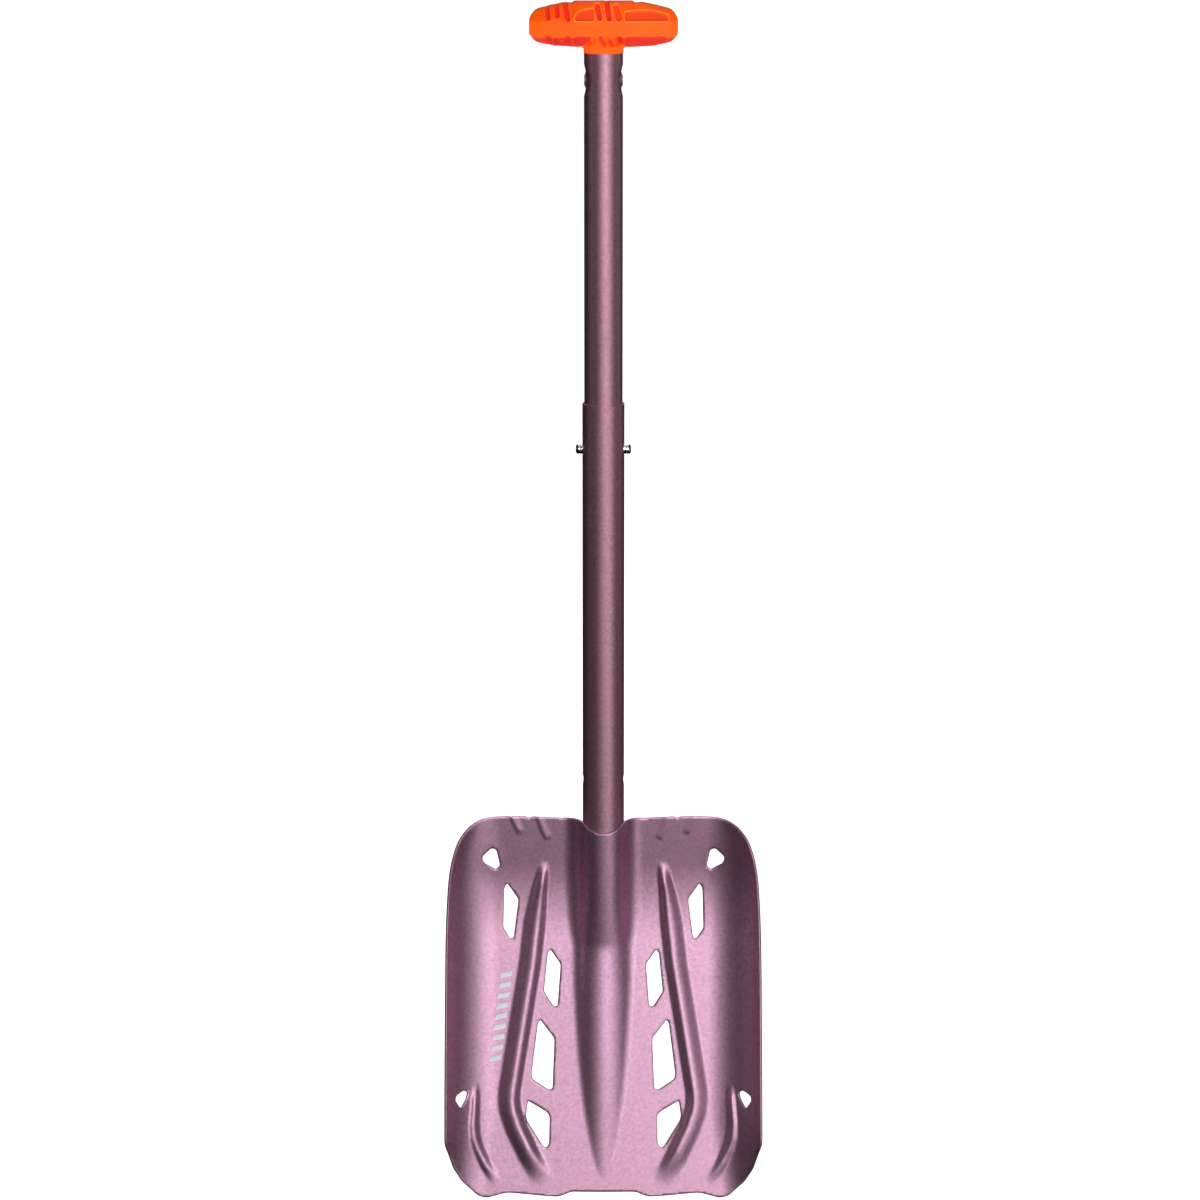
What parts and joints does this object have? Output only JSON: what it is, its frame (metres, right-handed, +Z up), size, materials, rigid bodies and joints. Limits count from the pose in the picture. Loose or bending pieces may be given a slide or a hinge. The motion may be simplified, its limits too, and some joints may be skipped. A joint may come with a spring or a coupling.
{
  "type": "avalanche shovel",
  "caption": "Telescoping avalanche shovel with a ribbed aluminium scoop blade, round two-stage shaft with sprung lock pins, and an orange T grip.",
  "frame": {"origin": "middle of the bounding box at the height of the lowest point of the cutting edge; the shaft axis stands 27.3 mm behind it", "axes": "+Z up along the shaft towards the grip, -Y towards the load side of the scoop, +X to the right of a person looking at the load side"},
  "size_m": [0.246, 0.0966, 0.9175],
  "materials": {
    "blade_aluminium": "fine blasted, mauve-pink anodised",
    "shaft_aluminium": "fine blasted, mauve-pink anodised",
    "weld_metal": "weld bead, anodised with the blade",
    "polished_steel": "polished stainless",
    "spring_steel": "spring steel strip",
    "grip_orange": "satin moulded",
    "black_nylon": "moulded nylon"
  },
  "bodies": {
    "blade_body": {"blade": "blade_aluminium", "socket_strap": "blade_aluminium", "weld_seam_left": "weld_metal", "weld_seam_right": "weld_metal"},
    "lower_body": {"lower_shaft": "shaft_aluminium", "foot_plug": "black_nylon", "blade_lock_spring": "spring_steel"},
    "lock_button_body": {"blade_lock_button": "polished_steel"},
    "upper_body": {"upper_shaft": "shaft_aluminium", "guide_plug": "black_nylon", "lock_pin_spring": "spring_steel", "grip_core": "black_nylon", "grip_cover": "grip_orange", "grip_rivet": "polished_steel"},
    "left_pin_body": {"left_lock_pin": "polished_steel"},
    "right_pin_body": {"right_lock_pin": "polished_steel"}
  },
  "joints": [
    {"name": "shaft_release", "type": "slide", "parent": "blade_body", "child": "lower_body", "axis": [0, 0, 1], "range_m": [0, 0.1], "deforming": ["blade_lock_button", "blade_lock_spring"]},
    {"name": "blade_lock_press", "type": "slide", "parent": "lower_body", "child": "lock_button_body", "axis": [0, -1, 0], "range_m": [0, 0.0051], "stiffness_N_per_m": 900, "deforming": ["blade_lock_spring"]},
    {"name": "telescope", "type": "slide", "parent": "lower_body", "child": "upper_body", "axis": [0, 0, 1], "range_m": [-0.2593, 0], "deforming": ["left_lock_pin", "right_lock_pin", "lock_pin_spring"]},
    {"name": "left_pin_press", "type": "slide", "parent": "upper_body", "child": "left_pin_body", "axis": [1, 0, 0], "range_m": [0, 0.0064], "stiffness_N_per_m": 900, "deforming": ["lock_pin_spring"]},
    {"name": "right_pin_press", "type": "slide", "parent": "upper_body", "child": "right_pin_body", "axis": [-1, 0, 0], "range_m": [0, 0.0064], "stiffness_N_per_m": 900, "deforming": ["lock_pin_spring"]}
  ]
}
